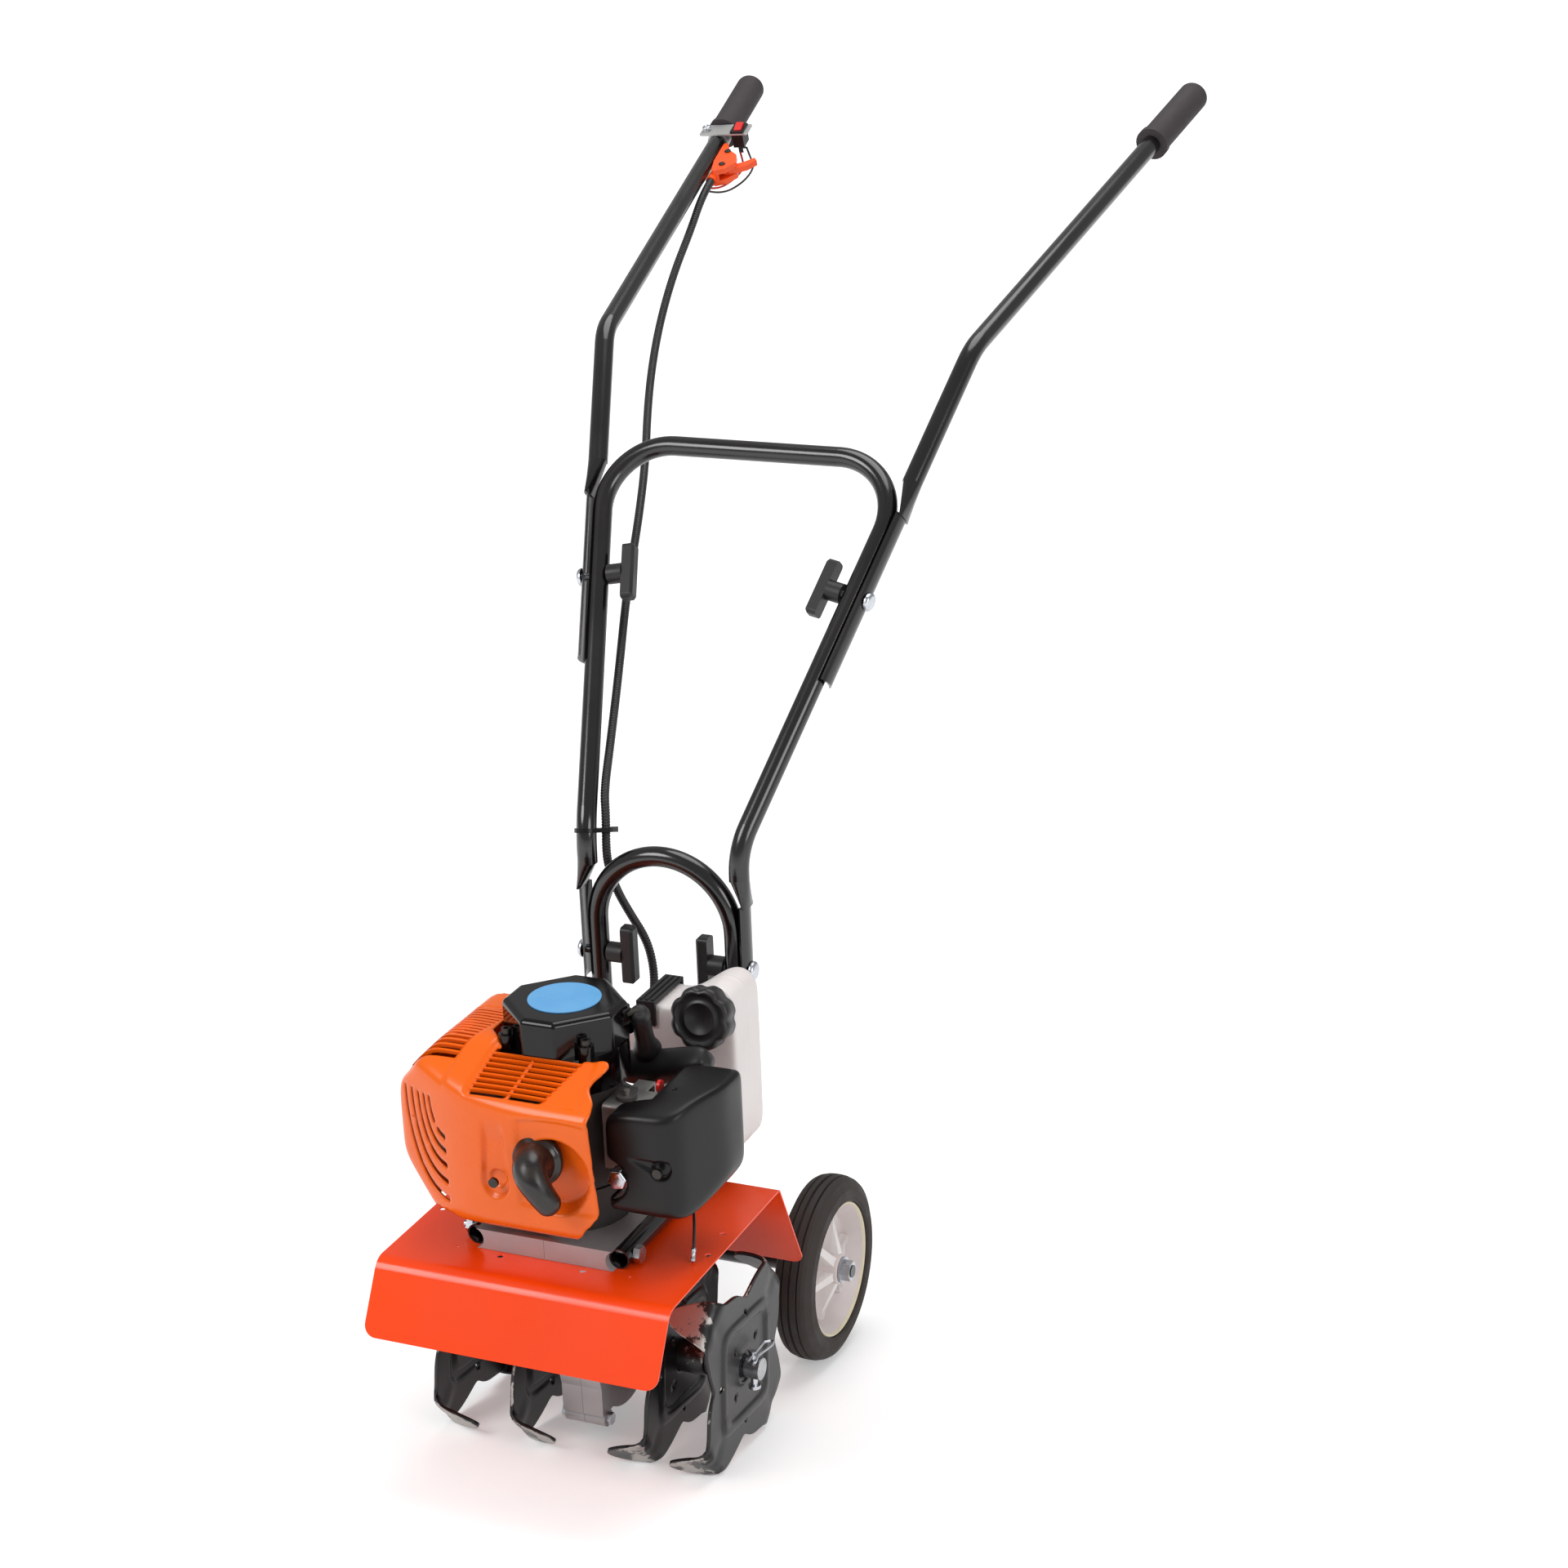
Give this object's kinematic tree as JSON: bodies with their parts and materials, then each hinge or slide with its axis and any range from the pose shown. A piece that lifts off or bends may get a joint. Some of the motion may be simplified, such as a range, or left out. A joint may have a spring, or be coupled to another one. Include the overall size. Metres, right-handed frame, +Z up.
{
  "type": "garden tiller",
  "caption": "Petrol garden tiller with folding tubular handles, orange engine shroud and fender, worm-driven tines and height-adjustable rear wheels.",
  "frame": {"origin": "centre of the ground footprint, at the floor", "axes": "+Z up, -Y toward the engine end (front), +Y toward the operator, +X the machine's left"},
  "size_m": [0.5376, 1.103, 1.1707],
  "materials": {
    "black_paint": "gloss black enamel",
    "red_orange_paint": "gloss red-orange powder coat",
    "orange_plastic": "gloss orange moulding",
    "black_gloss": "gloss black moulding",
    "black_matte": "fine textured black moulding",
    "tank_white": "translucent natural polyethylene",
    "red_plastic": "red moulding",
    "blue_disc": "plain blue disc",
    "grip_rubber": "soft black foam rubber",
    "black_rubber": "black rubber",
    "tyre": "ribbed black tyre",
    "hub_white": "off-white moulded hub",
    "zinc": "zinc plated steel",
    "steel": "bright steel",
    "cast_alu": "cast aluminium",
    "bronze": "bronze",
    "tine_steel": "black paint over spring steel",
    "nylon": "black nylon",
    "rope": "braided cord"
  },
  "bodies": {
    "chassis": {"base_frame": "black_paint", "fender": "red_orange_paint", "gearbox_left": "cast_alu", "gearbox_right": "cast_alu", "chassis_bolts": "zinc", "clutch_housing": "cast_alu", "engine_case": "cast_alu", "engine_shroud": "orange_plastic", "muffler": "steel", "recoil_housing": "black_gloss", "recoil_disc": "blue_disc", "case_screws": "zinc", "spark_plug": "zinc", "plug_boot": "black_rubber", "carburettor": "cast_alu", "filter_cover": "black_matte", "fuel_tank": "tank_white", "tank_strap": "black_rubber", "tank_bracket": "zinc", "axle_socket": "black_paint", "stop_wire": "black_rubber", "conduit_lower": "nylon", "starter_rope": "rope"},
    "lower_handle": {"lower_handle": "black_paint", "lower_bolts": "zinc", "cable_tie": "nylon"},
    "upper_handle_left": {"upper_handle_left": "black_paint", "upper_bolt_left": "zinc", "grip_left": "grip_rubber"},
    "upper_handle_right": {"upper_handle_right": "black_paint", "upper_bolt_right": "zinc", "grip_right": "grip_rubber", "throttle_housing": "orange_plastic", "switch_bracket": "zinc", "switch_body": "black_matte", "conduit_upper": "nylon"},
    "throttle_trigger": {"throttle_trigger": "black_matte"},
    "switch_rocker": {"switch_rocker": "red_plastic"},
    "knob_lower_left": {"knob_lower_left": "black_gloss"},
    "knob_lower_right": {"knob_lower_right": "black_gloss"},
    "knob_upper_left": {"knob_upper_left": "black_gloss"},
    "knob_upper_right": {"knob_upper_right": "black_gloss"},
    "tine_rotor": {"tine_shaft": "steel", "worm_wheel": "bronze", "tines_outer": "tine_steel", "tines_inner": "tine_steel", "tine_pins": "zinc"},
    "worm": {"worm_shaft": "steel"},
    "crank": {"crankshaft": "steel", "flywheel": "cast_alu"},
    "carriage": {"axle_post": "black_paint", "axle_nuts": "zinc"},
    "wheel_left": {"tyre_left": "tyre", "wheel_left": "hub_white"},
    "wheel_right": {"tyre_right": "tyre", "wheel_right": "hub_white"},
    "starter_handle": {"starter_handle": "black_gloss"},
    "choke_lever": {"choke_lever": "red_plastic"},
    "carb_lever": {"carb_lever": "cast_alu"},
    "tank_cap": {"tank_cap": "black_matte"}
  },
  "joints": [
    {"name": "lower_handle_fold", "type": "hinge", "parent": "chassis", "child": "lower_handle", "pos_m": [0, -0.22538, 0.406], "axis": [-1, 0, 0], "range_deg": [0, 60], "deforming": ["conduit_lower"]},
    {"name": "upper_handle_left_fold", "type": "hinge", "parent": "lower_handle", "child": "upper_handle_left", "pos_m": [0.12938, -0.09562, 0.73179], "axis": [-0.9787, 0.1145, 0.1704], "range_deg": [0, 95]},
    {"name": "upper_handle_right_fold", "type": "hinge", "parent": "lower_handle", "child": "upper_handle_right", "pos_m": [-0.12938, -0.09562, 0.73179], "axis": [-0.9787, -0.1145, -0.1704], "range_deg": [0, 95], "deforming": ["conduit_upper"]},
    {"name": "knob_lower_left_turn", "type": "hinge", "parent": "lower_handle", "child": "knob_lower_left", "pos_m": [0.069, -0.22538, 0.406], "axis": [1, 0, 0], "continuous": true},
    {"name": "knob_lower_right_turn", "type": "hinge", "parent": "lower_handle", "child": "knob_lower_right", "pos_m": [-0.069, -0.22538, 0.406], "axis": [-1, 0, 0], "continuous": true},
    {"name": "knob_upper_left_turn", "type": "hinge", "parent": "upper_handle_left", "child": "knob_upper_left", "pos_m": [0.12938, -0.09562, 0.73179], "axis": [0.9787, -0.1145, -0.1704], "continuous": true},
    {"name": "knob_upper_right_turn", "type": "hinge", "parent": "upper_handle_right", "child": "knob_upper_right", "pos_m": [-0.12938, -0.09562, 0.73179], "axis": [-0.9787, -0.1145, -0.1704], "continuous": true},
    {"name": "trigger_pull", "type": "hinge", "parent": "upper_handle_right", "child": "throttle_trigger", "pos_m": [-0.20794, 0.37509, 1.07852], "axis": [0, -0.3926, 0.9197], "range_deg": [0, 40], "stiffness_Nm_per_rad": 0.3, "springref_deg": -20.05},
    {"name": "switch_tilt", "type": "hinge", "parent": "upper_handle_right", "child": "switch_rocker", "pos_m": [-0.21511, 0.42419, 1.12035], "axis": [-0.9933, -0.1063, -0.0454], "range_deg": [0, 14]},
    {"name": "tine_spin", "type": "hinge", "parent": "chassis", "child": "tine_rotor", "pos_m": [0, -0.36113, 0.08308], "axis": [1, 0, 0], "continuous": true},
    {"name": "worm_spin", "type": "hinge", "parent": "chassis", "child": "worm", "pos_m": [0, -0.39897, 0.07957], "axis": [0, -0.0924, 0.9957], "continuous": true},
    {"name": "crank_spin", "type": "hinge", "parent": "chassis", "child": "crank", "pos_m": [0, -0.41744, 0.27871], "axis": [0, -0.0924, 0.9957], "continuous": true},
    {"name": "wheel_height", "type": "slide", "parent": "chassis", "child": "carriage", "axis": [0, -0.0924, 0.9957], "range_m": [-0.06, 0]},
    {"name": "wheel_left_spin", "type": "hinge", "parent": "carriage", "child": "wheel_left", "pos_m": [0.124, -0.14475, 0.089], "axis": [1, 0, 0], "continuous": true},
    {"name": "wheel_right_spin", "type": "hinge", "parent": "carriage", "child": "wheel_right", "pos_m": [-0.124, -0.14475, 0.089], "axis": [1, 0, 0], "continuous": true},
    {"name": "starter_pull", "type": "slide", "parent": "chassis", "child": "starter_handle", "axis": [0.8008, 0.0451, 0.5973], "range_m": [0, 0.6], "stiffness_N_per_m": 25, "springref_m": -0.12, "deforming": ["starter_rope"]},
    {"name": "choke_swing", "type": "hinge", "parent": "chassis", "child": "choke_lever", "pos_m": [0.0846, -0.42118, 0.34064], "axis": [-1, 0, 0], "range_deg": [0, 60]},
    {"name": "carb_throttle", "type": "hinge", "parent": "chassis", "child": "carb_lever", "pos_m": [0.062, -0.43846, 0.35369], "axis": [0, 0.0924, -0.9957], "range_deg": [0, 60]},
    {"name": "cap_turn", "type": "hinge", "parent": "chassis", "child": "tank_cap", "pos_m": [0.082, -0.31136, 0.39099], "axis": [0, -0.9932, 0.1167], "continuous": true}
  ],
  "couplings": [
    {"joint": "worm_spin", "follows": "tine_spin", "ratio": 30},
    {"joint": "carb_throttle", "follows": "trigger_pull", "ratio": 1.5}
  ]
}
